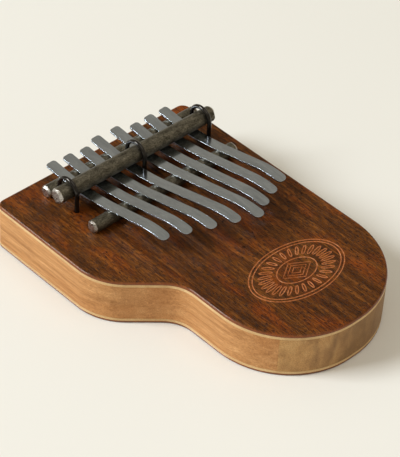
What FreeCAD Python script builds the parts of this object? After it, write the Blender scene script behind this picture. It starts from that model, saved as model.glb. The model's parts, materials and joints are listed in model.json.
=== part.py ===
import FreeCAD, Part
import math
import os
import Sketcher
from FreeCAD import Placement, Rotation, Vector

# Eight-tine thumb piano, millimetres. +Y runs to the square top end, -Y to the
# round end that faces the player, +Z leaves the playing face, and the origin is
# the middle of the back.
SIZES = [
    ("bodyWidth", 121.0, "board, widest, across X"),
    ("bodyLength", 165.0, "board, along Y"),
    ("lobeWidth", 92.0, "width of the round end"),
    ("shoulderY", 10.3, "where the left side would meet the cutaway"),
    ("cutawayAngle", 41.0, "slope of the cutaway below the X axis, degrees"),
    ("cornerRadius", 4.5, "two corners of the top end"),
    ("shoulderRadius", 29.0, "left side into the cutaway"),
    ("waistRadius", 18.0, "cutaway into the round end"),
    ("lobeLeftRadius", 42.0, "round end, left quarter"),
    ("lobeRightRadius", 46.0, "round end, right quarter"),
    ("backFace", 1.1, "dark back veneer"),
    ("backPly", 1.4, "pale ply under the back"),
    ("coreThickness", 19.4, "solid edge-glued boards"),
    ("frontPly", 1.5, "pale ply under the face"),
    ("frontFace", 1.6, "dark playing face"),
    ("faceRound", 1.2, "rounding of the face's edge"),
    ("backRound", 0.6, "rounding of the back's edge"),
    ("coreJointX", -21.5, "glue line between the two core boards"),
    ("barDiameter", 8.0, "pressure bar"),
    ("barY", 58.8, "pressure bar, along the board"),
    ("barStartX", -43.2, "left end of the pressure bar"),
    ("barLength", 99.4, "pressure bar"),
    ("bridgeDiameter", 6.6, "both bridge rods"),
    ("bridgeSeat", 0.8, "depth that a bridge rod sits in the face"),
    ("bridgeStartX", -39.6, "left end of both bridge rods"),
    ("backBridgeY", 70.8, "rear bridge rod"),
    ("backBridgeLength", 96.8, "rear bridge rod"),
    ("frontBridgeY", 37.9, "front bridge rod"),
    ("frontBridgeLength", 91.6, "front bridge rod"),
    ("rodChamfer", 1.0, "cut ends of the three rods"),
    ("wireDiameter", 2.5, "U-bolt wire"),
    ("boltX", 7.4, "middle U-bolt"),
    ("boltY", 59.5, "halfway between a U-bolt's two legs"),
    ("legSpacing", 12.4, "between a U-bolt's two legs"),
    ("boltDrop", 0.45, "from the bar's axis down to the centre of a U-bolt's bend"),
    ("boltSpacing", 42.6, "from one U-bolt to the next"),
    ("legEnd", 3.2, "height of the U-bolt legs' lower ends"),
    ("legHole", 2.8, "clearance hole for a leg"),
    ("boreDiameter", 7.4, "counterbore for a nut, in the back"),
    ("boreDepth", 7.5, "counterbore for a nut"),
    ("washerDiameter", 6.6, "washer"),
    ("washerThickness", 0.6, "washer"),
    ("nutWidth", 5.0, "nut, across flats"),
    ("nutThickness", 2.0, "nut"),
    ("tineX", 8.0, "middle of the row of tines"),
    ("tinePitch", 9.6, "between neighbouring tines"),
    ("tineMiddleGap", 11.8, "between the two tines beside the middle U-bolt"),
    ("tineWidth", 5.9, "tine"),
    ("tineThickness", 0.9, "tine"),
    ("tineSkew", 3.5, "turn of every tine about its place under the bar, degrees"),
    ("bendAngle", 9.0, "slope of a tine beyond each bridge, degrees"),
    ("tipCornerRadius", 2.6, "corners of a tine's playing end"),
    ("rearCornerRadius", 1.6, "corners of a tine's rear end"),
    ("hingeForward", 1.2, "from the front bridge's axis forward to where a blade starts"),
    ("bladeGap", 0.2, "between a tine's held part and its blade"),
    ("tipRadius", 41.0, "downward curve of a tip, on top"),
    ("tipTurn", 22.0, "downward curve of a tip, degrees"),
]

# The tines from the left: reach behind the rear bridge's axis, reach in front of the
# front bridge's axis, and how many degrees steeper than the held part the blade stands.
TINES = [
    ("First", 10.6, 34.0, 0.0),
    ("Second", 9.8, 38.7, 0.7),
    ("Third", 8.8, 44.5, 1.3),
    ("Fourth", 11.4, 50.0, 2.2),
    ("Fifth", 11.0, 53.0, 0.0),
    ("Sixth", 7.6, 47.3, -0.9),
    ("Seventh", 7.9, 43.2, -0.7),
    ("Eighth", 7.7, 39.7, 0.0),
]

doc = FreeCAD.newDocument("ThumbPiano")
sheet = doc.addObject("Spreadsheet::Sheet", "Sizes")


def fillSheet():
    rows = list(SIZES)
    for name, rear, front, lift in TINES:
        rows += [(f"rear{name}", rear, "tine behind the rear bridge"),
                 (f"front{name}", front, "tine in front of the front bridge"),
                 (f"lift{name}", lift, "blade steeper than the held part, degrees")]
    for row, (alias, size, note) in enumerate(rows, start=1):
        sheet.set(f"A{row}", alias)
        sheet.set(f"B{row}", str(size))
        sheet.set(f"C{row}", note)
        sheet.setAlias(f"B{row}", alias)
    doc.recompute()


fillSheet()

# Expressions that several pieces share.
BACK_PLY_Z = "Sizes.backFace"
CORE_Z = "Sizes.backFace + Sizes.backPly"
FRONT_PLY_Z = f"{CORE_Z} + Sizes.coreThickness"
FRONT_FACE_Z = f"{FRONT_PLY_Z} + Sizes.frontPly"
FACE_Z = f"({FRONT_FACE_Z} + Sizes.frontFace)"
BRIDGE_R = "(Sizes.bridgeDiameter / 2)"
BRIDGE_AXIS_Z = f"({FACE_Z} - Sizes.bridgeSeat + {BRIDGE_R})"
CONTACT_Z = f"({BRIDGE_AXIS_Z} + {BRIDGE_R} * cos(Sizes.bendAngle))"
# A tine bends in one arc between its two contacts with the bridge rods.
HALF_SPAN = (f"((Sizes.backBridgeY - Sizes.frontBridgeY) / 2"
             f" - {BRIDGE_R} * sin(Sizes.bendAngle))")
BEND_R = f"({HALF_SPAN} / sin(Sizes.bendAngle))"
BEND_Z = f"({CONTACT_Z} + {BEND_R} * cos(Sizes.bendAngle))"
BEND_Y = "((Sizes.backBridgeY + Sizes.frontBridgeY) / 2 - Sizes.barY)"
# The bar lies on top of the bent tines.
BAR_AXIS_Z = (f"({BEND_Z} - sqrt(pow({BEND_R} - Sizes.tineThickness; 2) - pow({BEND_Y}; 2))"
              f" + Sizes.barDiameter / 2)")
BOLT_AXIS_Z = f"({BAR_AXIS_Z} - Sizes.boltDrop)"
# Local Y of a tine is measured from the bar.
CONTACT_Y = f"({BEND_Y} - {HALF_SPAN})"
HINGE_Y = "(Sizes.frontBridgeY - Sizes.hingeForward - Sizes.barY)"


def value(expression):
    result = sheet.evalExpression(expression)
    return float(getattr(result, "Value", result))


def originPlane(body, role):
    for feature in body.Origin.OriginFeatures:
        if feature.Role == role:
            return feature
    raise ValueError(role)


def addBody(label):
    body = doc.addObject("PartDesign::Body", label)
    body.Label = label
    return body


def addSketch(body, name, role, offset=None):
    sketch = body.newObject("Sketcher::SketchObject", name)
    sketch.AttachmentSupport = [(originPlane(body, role), "")]
    sketch.MapMode = "FlatFace"
    if offset:
        sketch.setExpression("AttachmentOffset.Base.z", offset)
    return sketch


def bind(sketch, kind, where, expression):
    """Add a constraint whose size follows an expression; where is (geometry, point) or (geometry,)."""
    size = value(expression)
    if kind in ("Angle",):
        size = math.radians(size)
    index = sketch.addConstraint(Sketcher.Constraint(kind, *where, size))
    unit = " * 1 deg" if kind == "Angle" else ""
    sketch.setExpression(f"Constraints[{index}]", f"({expression}){unit}")


def bindPoint(sketch, geometry, point, x, y):
    bind(sketch, "DistanceX", (geometry, point), x)
    bind(sketch, "DistanceY", (geometry, point), y)


def addPolygon(sketch, corners):
    points = [Vector(value(x), value(y), 0) for x, y in corners]
    lines = [sketch.addGeometry(Part.LineSegment(start, end))
             for start, end in zip(points, points[1:] + points[:1])]
    for line, following in zip(lines, lines[1:] + lines[:1]):
        sketch.addConstraint(Sketcher.Constraint("Coincident", line, 2, following, 1))
    for line, (x, y) in zip(lines, corners):
        bindPoint(sketch, line, 1, x, y)


def addCircle(sketch, x, y, diameter):
    centre = Vector(value(x), value(y), 0)
    circle = sketch.addGeometry(Part.Circle(centre, Vector(0, 0, 1), value(diameter) / 2))
    bindPoint(sketch, circle, 3, x, y)
    bind(sketch, "Diameter", (circle,), diameter)


def addPad(body, name, sketch, length, symmetric=False):
    pad = body.newObject("PartDesign::Pad", name)
    pad.Profile = sketch
    pad.SideType = "Symmetric" if symmetric else "One side"
    pad.setExpression("Length", length)
    doc.recompute()
    return pad


def addPocket(body, name, sketch, length):
    """Cut a pocket towards the sketch's normal and make sure that it took wood away."""
    before = body.Shape.Volume
    pocket = body.newObject("PartDesign::Pocket", name)
    pocket.Profile = sketch
    pocket.Reversed = True
    pocket.setExpression("Length", length)
    doc.recompute()
    if body.Shape.Volume > before - 1e-3:
        raise RuntimeError(f"{body.Label}: {name} cuts nothing")
    return pocket


def addFillet(body, name, base, edges, radius):
    fillet = body.newObject("PartDesign::Fillet", name)
    fillet.Base = (base, edges)
    fillet.setExpression("Radius", radius)
    doc.recompute()
    return fillet


def uprightEdges(shape, x, y):
    """Names of the edges that stand on the point x, y of the board's outline."""
    found = []
    for number, edge in enumerate(shape.Edges, start=1):
        ends = [vertex.Point for vertex in edge.Vertexes]
        if all(math.hypot(end.x - x, end.y - y) < 1e-3 for end in ends):
            found.append(f"Edge{number}")
    return found


def rimEdges(shape, z):
    """Names of the outline's edges at height z."""
    found = []
    for number, edge in enumerate(shape.Edges, start=1):
        box = edge.BoundBox
        flat = abs(box.ZMin - z) < 1e-4 and abs(box.ZMax - z) < 1e-4
        closed = len(edge.Vertexes) == 1
        if flat and not closed:
            found.append(f"Edge{number}")
    return found


def boardOutline():
    """Corners of the outline before rounding, each with the radius it is rounded to."""
    left = "-Sizes.bodyWidth / 2"
    right = "Sizes.bodyWidth / 2"
    top = "Sizes.bodyLength / 2"
    bottom = "-Sizes.bodyLength / 2"
    lobeLeft = f"({right} - Sizes.lobeWidth)"
    waistY = f"(Sizes.shoulderY - tan(Sizes.cutawayAngle) * (Sizes.bodyWidth - Sizes.lobeWidth))"
    return [
        (left, top, "Sizes.cornerRadius"),
        (right, top, "Sizes.cornerRadius"),
        (right, bottom, "Sizes.lobeRightRadius"),
        (lobeLeft, bottom, "Sizes.lobeLeftRadius"),
        (lobeLeft, waistY, "Sizes.waistRadius"),
        (left, "Sizes.shoulderY", "Sizes.shoulderRadius"),
    ]


def boltPlaces():
    """X of the three U-bolts and Y of their two legs."""
    across = [f"Sizes.boltX + {step} * Sizes.boltSpacing" for step in (-1, 0, 1)]
    along = [f"Sizes.boltY + {side} * Sizes.legSpacing / 2" for side in (-1, 1)]
    return [(x, y) for x in across for y in along]


def addBoard(label, bottom, thickness):
    """One full-size layer of the body, between two heights, with its holes for the U-bolts."""
    body = addBody(label)
    sketch = addSketch(body, f"{label}_outline", "XY_Plane", bottom)
    outline = boardOutline()
    addPolygon(sketch, [(x, y) for x, y, radius in outline])
    feature = addPad(body, f"{label}_pad", sketch, thickness)
    for number, (x, y, radius) in enumerate(outline, start=1):
        edges = uprightEdges(feature.Shape, value(x), value(y))
        feature = addFillet(body, f"{label}_corner{number}", feature, edges, radius)
    holes = addSketch(body, f"{label}_leg_holes", "XY_Plane", bottom)
    for x, y in boltPlaces():
        addCircle(holes, x, y, "Sizes.legHole")
    addPocket(body, f"{label}_drill", holes, thickness)
    return body


def addCounterbores(body, bottom, depth):
    sketch = addSketch(body, f"{body.Label}_counterbores", "XY_Plane", bottom)
    for x, y in boltPlaces():
        addCircle(sketch, x, y, "Sizes.boreDiameter")
    addPocket(body, f"{body.Label}_bore", sketch, depth)


def addBridgeSeat(body, name, y, length):
    sketch = addSketch(body, f"{name}_circle", "YZ_Plane", "Sizes.bridgeStartX")
    addCircle(sketch, y, BRIDGE_AXIS_Z, "Sizes.bridgeDiameter")
    addPocket(body, name, sketch, length)


def makeFace():
    """Dark playing face, rounded along its edge and grooved for the bridge rods."""
    body = addBoard("soundboard_face", FRONT_FACE_Z, "Sizes.frontFace")
    edges = rimEdges(body.Shape, value(FACE_Z))
    addFillet(body, "face_round", body.Tip, edges, "Sizes.faceRound")
    addBridgeSeat(body, "back_bridge_seat", "Sizes.backBridgeY", "Sizes.backBridgeLength")
    addBridgeSeat(body, "front_bridge_seat", "Sizes.frontBridgeY", "Sizes.frontBridgeLength")
    return body


def makeBackFace():
    body = addBoard("back_face", "0", "Sizes.backFace")
    edges = rimEdges(body.Shape, 0.0)
    addFillet(body, "back_round", body.Tip, edges, "Sizes.backRound")
    addCounterbores(body, "0", "Sizes.backFace")
    return body


def makeBackPly():
    body = addBoard("back_ply", BACK_PLY_Z, "Sizes.backPly")
    addCounterbores(body, BACK_PLY_Z, "Sizes.backPly")
    return body


def makeCoreBoards():
    """Two solid boards, edge-glued along Y at the core joint."""
    blank = addBoard("core_blank", CORE_Z, "Sizes.coreThickness")
    addCounterbores(blank, CORE_Z, f"Sizes.boreDepth - ({CORE_Z})")
    boards = []
    for label, start, end in (
            ("core_left", "-Sizes.bodyWidth", "Sizes.coreJointX"),
            ("core_right", "Sizes.coreJointX", "Sizes.bodyWidth")):
        slab = doc.addObject("Part::Box", f"{label}_slab")
        slab.setExpression("Placement.Base.x", start)
        slab.setExpression("Placement.Base.y", "-Sizes.bodyLength")
        slab.setExpression("Length", f"{end} - ({start})")
        slab.setExpression("Width", "2 * Sizes.bodyLength")
        slab.setExpression("Height", f"2 * {FACE_Z}")
        board = doc.addObject("Part::Common", label)
        board.Label = label
        board.Base = blank
        board.Tool = slab
        boards.append(board)
    return boards


def makeRod(label, start, length, y, z, diameter):
    body = addBody(label)
    sketch = addSketch(body, f"{label}_section", "YZ_Plane", start)
    addCircle(sketch, y, z, diameter)
    pad = addPad(body, f"{label}_pad", sketch, length)
    chamfer = body.newObject("PartDesign::Chamfer", f"{label}_ends")
    chamfer.Base = (pad, [f"Edge{number}" for number, edge in enumerate(pad.Shape.Edges, start=1)
                          if len(edge.Vertexes) == 1])
    chamfer.setExpression("Size", "Sizes.rodChamfer")
    return body


def makeUBolt(label, step):
    """Bent wire over the pressure bar: half a ring and two straight legs."""
    x = f"Sizes.boltX + {step} * Sizes.boltSpacing"
    ring = doc.addObject("Part::Torus", f"{label}_bend")
    ring.Placement = Placement(Vector(), Rotation(Vector(0, 1, 0), 90) * Rotation(Vector(0, 0, 1), 90))
    ring.Angle3 = 180
    ring.setExpression("Radius1", "Sizes.legSpacing / 2")
    ring.setExpression("Radius2", "Sizes.wireDiameter / 2")
    ring.setExpression("Placement.Base.x", x)
    ring.setExpression("Placement.Base.y", "Sizes.boltY")
    ring.setExpression("Placement.Base.z", BOLT_AXIS_Z)
    pieces = [ring]
    for name, side in (("front", -1), ("rear", 1)):
        leg = doc.addObject("Part::Cylinder", f"{label}_{name}_leg")
        leg.setExpression("Radius", "Sizes.wireDiameter / 2")
        leg.setExpression("Height", f"{BOLT_AXIS_Z} - Sizes.legEnd")
        leg.setExpression("Placement.Base.x", x)
        leg.setExpression("Placement.Base.y", f"Sizes.boltY + {side} * Sizes.legSpacing / 2")
        leg.setExpression("Placement.Base.z", "Sizes.legEnd")
        pieces.append(leg)
    bolt = doc.addObject("Part::MultiFuse", label)
    bolt.Label = label
    bolt.Shapes = pieces
    return bolt


def makeGroup(label, members):
    group = doc.addObject("Part::Compound", label)
    group.Label = label
    group.Links = members
    return group


def makeRing(name, blank, holeDiameter, x, y, z, thickness):
    """A washer or nut: a blank with a hole through it, standing at x, y, z."""
    hole = doc.addObject("Part::Cylinder", f"{name}_hole")
    hole.setExpression("Radius", f"{holeDiameter} / 2")
    for piece in (blank, hole):
        piece.setExpression("Height", thickness)
        piece.setExpression("Placement.Base.x", x)
        piece.setExpression("Placement.Base.y", y)
        piece.setExpression("Placement.Base.z", z)
    ring = doc.addObject("Part::Cut", name)
    ring.Base = blank
    ring.Tool = hole
    return ring


def makeFasteners():
    """A washer and a nut on every leg, inside the counterbores."""
    washers = []
    nuts = []
    washerZ = "Sizes.boreDepth - Sizes.washerThickness"
    nutZ = f"{washerZ} - Sizes.nutThickness"
    for number, (x, y) in enumerate(boltPlaces(), start=1):
        disc = doc.addObject("Part::Cylinder", f"washer{number}_disc")
        disc.setExpression("Radius", "Sizes.washerDiameter / 2")
        washers.append(makeRing(f"washer{number}", disc, "Sizes.legHole", x, y, washerZ,
                                "Sizes.washerThickness"))
        hexagon = doc.addObject("Part::Prism", f"nut{number}_hexagon")
        hexagon.Polygon = 6
        hexagon.setExpression("Circumradius", "Sizes.nutWidth / 2 / cos(30)")
        nuts.append(makeRing(f"nut{number}", hexagon, "Sizes.wireDiameter", x, y, nutZ,
                             "Sizes.nutThickness"))
    return [makeGroup("u_bolt_washers", washers), makeGroup("u_bolt_nuts", nuts)]


def lineAlong(start, angle, length):
    end = start + Vector(math.cos(angle), math.sin(angle), 0) * length
    return Part.LineSegment(start, end), end


def placeTine(body, number):
    """Stand a tine, drawn from its place under the bar, at its own X with its skew."""
    half = (len(TINES) - 1) / 2
    steps = number - 1 - half
    side = 1 if steps > 0 else -1
    inner = steps - side * 0.5
    x = f"Sizes.tineX + {inner} * Sizes.tinePitch + {side} * Sizes.tineMiddleGap / 2"
    body.Placement = Placement(Vector(value(x), value("Sizes.barY"), 0),
                               Rotation(Vector(0, 0, 1), value("Sizes.tineSkew")))
    body.setExpression("Placement.Base.x", x)
    body.setExpression("Placement.Base.y", "Sizes.barY")
    body.setExpression("Placement.Rotation.Angle", "Sizes.tineSkew")


def roundEnd(body, name, far, radius):
    """Round the two short upright edges at the end of a strip that lies furthest towards far."""
    shape = body.Tip.Shape
    short = []
    for number, edge in enumerate(shape.Edges, start=1):
        if len(edge.Vertexes) == 2 and edge.Length < value("Sizes.tineThickness") * 1.2:
            short.append((far * edge.CenterOfMass.y, f"Edge{number}"))
    reach = max(y for y, edge in short)
    edges = [edge for y, edge in short if y > reach - 0.3]
    addFillet(body, name, body.Tip, edges, radius)


def makeTineRoot(number, rearReach):
    """The held part of a tine: rear end, bend under the bar, and over the front bridge."""
    label = f"tine_{number}_root"
    body = addBody(label)
    sketch = addSketch(body, f"{label}_side", "YZ_Plane")
    slope = math.radians(value("Sizes.bendAngle"))
    centre = Vector(value(BEND_Y), value(BEND_Z), 0)
    rearLength = f"({rearReach} + {BRIDGE_R} * sin(Sizes.bendAngle)) / cos(Sizes.bendAngle)"
    stubLength = f"({CONTACT_Y} - {HINGE_Y}) / cos(Sizes.bendAngle)"
    normal = Vector(0, 0, 1)
    ends = []
    curves = []
    for radius in (BEND_R, f"({BEND_R} - Sizes.tineThickness)"):
        arc = Part.ArcOfCircle(Part.Circle(centre, normal, value(radius)),
                               -math.pi / 2 - slope, -math.pi / 2 + slope)
        rear, rearEnd = lineAlong(arc.EndPoint, slope, value(rearLength))
        stub, stubEnd = lineAlong(arc.StartPoint, math.pi - slope, value(stubLength))
        rearLine, bend, stubLine = [sketch.addGeometry(curve) for curve in (rear, arc, stub)]
        sketch.addConstraint(Sketcher.Constraint("Tangent", rearLine, 1, bend, 2))
        sketch.addConstraint(Sketcher.Constraint("Tangent", stubLine, 1, bend, 1))
        bind(sketch, "Radius", (bend,), radius)
        curves.append((rearLine, bend, stubLine))
        ends.append((rearEnd, stubEnd))
    under, top = curves
    rearCap = sketch.addGeometry(Part.LineSegment(ends[0][0], ends[1][0]))
    stubCap = sketch.addGeometry(Part.LineSegment(ends[0][1], ends[1][1]))
    for cap, side in ((rearCap, 0), (stubCap, 2)):
        sketch.addConstraint(Sketcher.Constraint("Coincident", cap, 1, under[side], 2))
        sketch.addConstraint(Sketcher.Constraint("Coincident", cap, 2, top[side], 2))
        sketch.addConstraint(Sketcher.Constraint("Perpendicular", cap, under[side]))
        sketch.addConstraint(Sketcher.Constraint("Parallel", under[side], top[side]))
    sketch.addConstraint(Sketcher.Constraint("Coincident", under[1], 3, top[1], 3))
    bindPoint(sketch, under[1], 3, BEND_Y, BEND_Z)
    bind(sketch, "Angle", (under[0],), "Sizes.bendAngle")
    bind(sketch, "Angle", (under[2],), "180 - Sizes.bendAngle")
    bind(sketch, "Distance", (under[0],), rearLength)
    bind(sketch, "Distance", (under[2],), stubLength)
    addPad(body, f"{label}_pad", sketch, "Sizes.tineWidth", symmetric=True)
    roundEnd(body, f"{label}_end", 1, "Sizes.rearCornerRadius")
    placeTine(body, number)
    return body


def makeTineBlade(number, reach, lift):
    """The free part of a tine: straight from the hinge line, then curved down at the tip."""
    label = f"tine_{number}_blade"
    body = addBody(label)
    sketch = addSketch(body, f"{label}_side", "YZ_Plane")
    blade = f"(Sizes.bendAngle + {lift})"
    slope = math.radians(value(blade))
    turn = math.radians(value("Sizes.tipTurn"))
    startY = f"({HINGE_Y} - Sizes.bladeGap)"
    startZ = f"({CONTACT_Z} + tan(Sizes.bendAngle) * ({CONTACT_Y} - {startY}))"
    tipReach = f"(Sizes.tipRadius * (sin({blade}) + sin(Sizes.tipTurn - {blade})))"
    straight = f"(({reach} - Sizes.hingeForward - Sizes.bladeGap - {tipReach}) / cos({blade}))"
    underStart = Vector(value(startY), value(startZ), 0)
    up = Vector(math.sin(slope), math.cos(slope), 0)
    thickness = value("Sizes.tineThickness")
    curves = []
    ends = []
    tipAngle = math.pi / 2 - slope
    for lift, radius in ((0, "(Sizes.tipRadius - Sizes.tineThickness)"), (thickness, "Sizes.tipRadius")):
        line, end = lineAlong(underStart + up * lift, math.pi - slope, value(straight))
        centre = end - up * value(radius)
        arc = Part.ArcOfCircle(Part.Circle(centre, Vector(0, 0, 1), value(radius)),
                               tipAngle, tipAngle + turn)
        lineId, arcId = [sketch.addGeometry(curve) for curve in (line, arc)]
        sketch.addConstraint(Sketcher.Constraint("Tangent", lineId, 2, arcId, 1))
        bind(sketch, "Radius", (arcId,), radius)
        curves.append((lineId, arcId))
        ends.append((underStart + up * lift, arc.EndPoint))
    under, top = curves
    rootCap = sketch.addGeometry(Part.LineSegment(ends[0][0], ends[1][0]))
    tipCap = sketch.addGeometry(Part.LineSegment(ends[0][1], ends[1][1]))
    for cap, side, point in ((rootCap, 0, 1), (tipCap, 1, 2)):
        sketch.addConstraint(Sketcher.Constraint("Coincident", cap, 1, under[side], point))
        sketch.addConstraint(Sketcher.Constraint("Coincident", cap, 2, top[side], point))
    sketch.addConstraint(Sketcher.Constraint("Perpendicular", rootCap, under[0]))
    sketch.addConstraint(Sketcher.Constraint("Parallel", under[0], top[0]))
    sketch.addConstraint(Sketcher.Constraint("Coincident", under[1], 3, top[1], 3))
    sketch.addConstraint(Sketcher.Constraint("PointOnObject", under[1], 3, tipCap))
    bindPoint(sketch, under[0], 1, startY, startZ)
    bind(sketch, "Angle", (under[0],), f"180 - {blade}")
    bind(sketch, "Angle", (tipCap,), f"90 - {blade} + Sizes.tipTurn")
    bind(sketch, "Distance", (under[0],), straight)
    addPad(body, f"{label}_pad", sketch, "Sizes.tineWidth", symmetric=True)
    roundEnd(body, f"{label}_end", -1, "Sizes.tipCornerRadius")
    placeTine(body, number)
    return body


def makeAll():
    pieces = [makeFace(), addBoard("soundboard_ply", FRONT_PLY_Z, "Sizes.frontPly")]
    pieces += makeCoreBoards()
    pieces += [makeBackPly(), makeBackFace()]
    pieces.append(makeRod("pressure_bar", "Sizes.barStartX", "Sizes.barLength",
                          "Sizes.barY", BAR_AXIS_Z, "Sizes.barDiameter"))
    pieces.append(makeRod("back_bridge", "Sizes.bridgeStartX", "Sizes.backBridgeLength",
                          "Sizes.backBridgeY", BRIDGE_AXIS_Z, "Sizes.bridgeDiameter"))
    pieces.append(makeRod("front_bridge", "Sizes.bridgeStartX", "Sizes.frontBridgeLength",
                          "Sizes.frontBridgeY", BRIDGE_AXIS_Z, "Sizes.bridgeDiameter"))
    for label, step in (("u_bolt_left", -1), ("u_bolt_middle", 0), ("u_bolt_right", 1)):
        pieces.append(makeUBolt(label, step))
    pieces += makeFasteners()
    for number, (name, *_) in enumerate(TINES, start=1):
        pieces.append(makeTineRoot(number, f"Sizes.rear{name}"))
        pieces.append(makeTineBlade(number, f"Sizes.front{name}", f"Sizes.lift{name}"))
    return pieces


def checkDocument(pieces):
    doc.recompute()
    for item in doc.Objects:
        if "Invalid" in item.State or "Error" in item.State:
            raise RuntimeError(f"{item.Label}: {item.State}")
    for piece in pieces:
        if piece.Shape.isNull() or not piece.Shape.isValid() or not piece.Shape.Solids:
            raise RuntimeError(f"{piece.Label}: bad shape")


def exportAll(pieces):
    os.makedirs("parts", exist_ok=True)
    for piece in pieces:
        piece.Shape.exportStep(f"parts/{piece.Label}.step")
        box = piece.Shape.BoundBox
        print(f"{piece.Label:18s} {piece.Shape.Volume:10.1f} mm3  "
              f"x {box.XMin:6.1f}..{box.XMax:5.1f}  y {box.YMin:6.1f}..{box.YMax:5.1f}  "
              f"z {box.ZMin:5.1f}..{box.ZMax:5.1f}")


pieces = makeAll()
checkDocument(pieces)
exportAll(pieces)
print("pressure bar axis", round(value(BAR_AXIS_Z), 3), "mm above the back")
print("tine hinge line y", round(value(HINGE_Y) + value("Sizes.barY"), 3),
      "z", round(value(CONTACT_Z), 3))
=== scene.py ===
import json
import math

import bmesh
import bpy
from mathutils import Matrix, Vector


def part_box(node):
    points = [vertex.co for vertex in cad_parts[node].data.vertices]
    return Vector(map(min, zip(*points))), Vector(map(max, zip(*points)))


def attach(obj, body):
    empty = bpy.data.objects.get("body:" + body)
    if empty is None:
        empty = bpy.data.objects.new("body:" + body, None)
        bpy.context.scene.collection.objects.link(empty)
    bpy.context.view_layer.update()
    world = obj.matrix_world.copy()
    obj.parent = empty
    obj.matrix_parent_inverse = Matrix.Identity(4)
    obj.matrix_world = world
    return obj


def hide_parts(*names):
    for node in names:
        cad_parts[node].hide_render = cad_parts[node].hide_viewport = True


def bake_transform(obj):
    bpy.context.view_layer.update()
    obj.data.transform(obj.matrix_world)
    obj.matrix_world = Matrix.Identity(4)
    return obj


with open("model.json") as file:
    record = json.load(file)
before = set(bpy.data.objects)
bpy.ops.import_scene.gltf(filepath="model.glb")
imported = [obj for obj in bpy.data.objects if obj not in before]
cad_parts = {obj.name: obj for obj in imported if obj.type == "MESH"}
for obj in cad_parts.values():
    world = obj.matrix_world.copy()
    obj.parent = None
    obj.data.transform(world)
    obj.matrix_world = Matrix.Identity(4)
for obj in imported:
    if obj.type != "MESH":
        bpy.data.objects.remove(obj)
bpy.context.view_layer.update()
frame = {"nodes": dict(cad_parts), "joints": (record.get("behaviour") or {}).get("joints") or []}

mm = 0.001
closeBy = 0.01 * mm
mergeGap = 0.002 * mm
print("frame loaded:", len(frame["nodes"]), "nodes")


def dropSelection():
    active = bpy.context.view_layer.objects.active
    if active and active.mode != "OBJECT":
        bpy.ops.object.mode_set(mode="OBJECT")
    bpy.ops.object.select_all(action="DESELECT")


def nameActive(name):
    piece = bpy.context.object
    piece.name = name
    piece.data.name = name
    return piece


def choose(piece):
    dropSelection()
    piece.select_set(True)
    bpy.context.view_layer.objects.active = piece


def openEdit(piece, kind="VERT"):
    choose(piece)
    bpy.ops.object.mode_set(mode="EDIT")
    bpy.ops.mesh.select_mode(type=kind)


def closeEdit():
    bpy.ops.object.mode_set(mode="OBJECT")


def pickVerts(piece, test):
    bpy.ops.mesh.select_mode(type="VERT")
    bpy.ops.mesh.select_all(action="DESELECT")
    mesh = bmesh.from_edit_mesh(piece.data)
    for vert in mesh.verts:
        if test(vert.co):
            vert.select_set(True)
    mesh.select_flush_mode()
    bmesh.update_edit_mesh(piece.data)


def pickEdges(piece, test):
    bpy.ops.mesh.select_mode(type="EDGE")
    bpy.ops.mesh.select_all(action="DESELECT")
    mesh = bmesh.from_edit_mesh(piece.data)
    for edge in mesh.edges:
        if test(edge.verts[0].co, edge.verts[1].co):
            edge.select_set(True)
    bmesh.update_edit_mesh(piece.data)


def pickFaces(piece, test):
    bpy.ops.mesh.select_mode(type="FACE")
    bpy.ops.mesh.select_all(action="DESELECT")
    mesh = bmesh.from_edit_mesh(piece.data)
    mesh.normal_update()
    for face in mesh.faces:
        if test(face.calc_center_median(), face.normal):
            face.select_set(True)
    bmesh.update_edit_mesh(piece.data)


def applyModifiers(piece):
    choose(piece)
    for modifier in list(piece.modifiers):
        bpy.ops.object.modifier_apply(modifier=modifier.name)


def carve(piece, cutter, operation="DIFFERENCE", overlapping=False):
    cut = piece.modifiers.new("carve", "BOOLEAN")
    cut.object = cutter
    cut.operation = operation
    cut.solver = "EXACT"
    cut.material_mode = "TRANSFER"
    cut.use_self = overlapping
    applyModifiers(piece)
    bpy.data.objects.remove(cutter)


def joinPieces(pieces, name):
    dropSelection()
    for piece in pieces:
        piece.select_set(True)
    bpy.context.view_layer.objects.active = pieces[0]
    bpy.ops.object.join()
    return nameActive(name)


def smoothPiece(piece, angle=32, weighted=True):
    choose(piece)
    bpy.ops.object.shade_smooth_by_angle(angle=math.radians(angle))
    if weighted:
        even = piece.modifiers.new("evenNormals", "WEIGHTED_NORMAL")
        even.keep_sharp = True
        applyModifiers(piece)


def outwardNormals(piece):
    openEdit(piece)
    bpy.ops.mesh.select_all(action="SELECT")
    bpy.ops.mesh.remove_doubles(threshold=mergeGap)
    bpy.ops.mesh.normals_make_consistent(inside=False)
    closeEdit()


def paint(piece, *materials):
    piece.data.materials.clear()
    for material in materials:
        piece.data.materials.append(material)


def placePiece(piece, slotName, *nodes, body="body"):
    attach(piece, body)
    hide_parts(*nodes)


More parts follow.
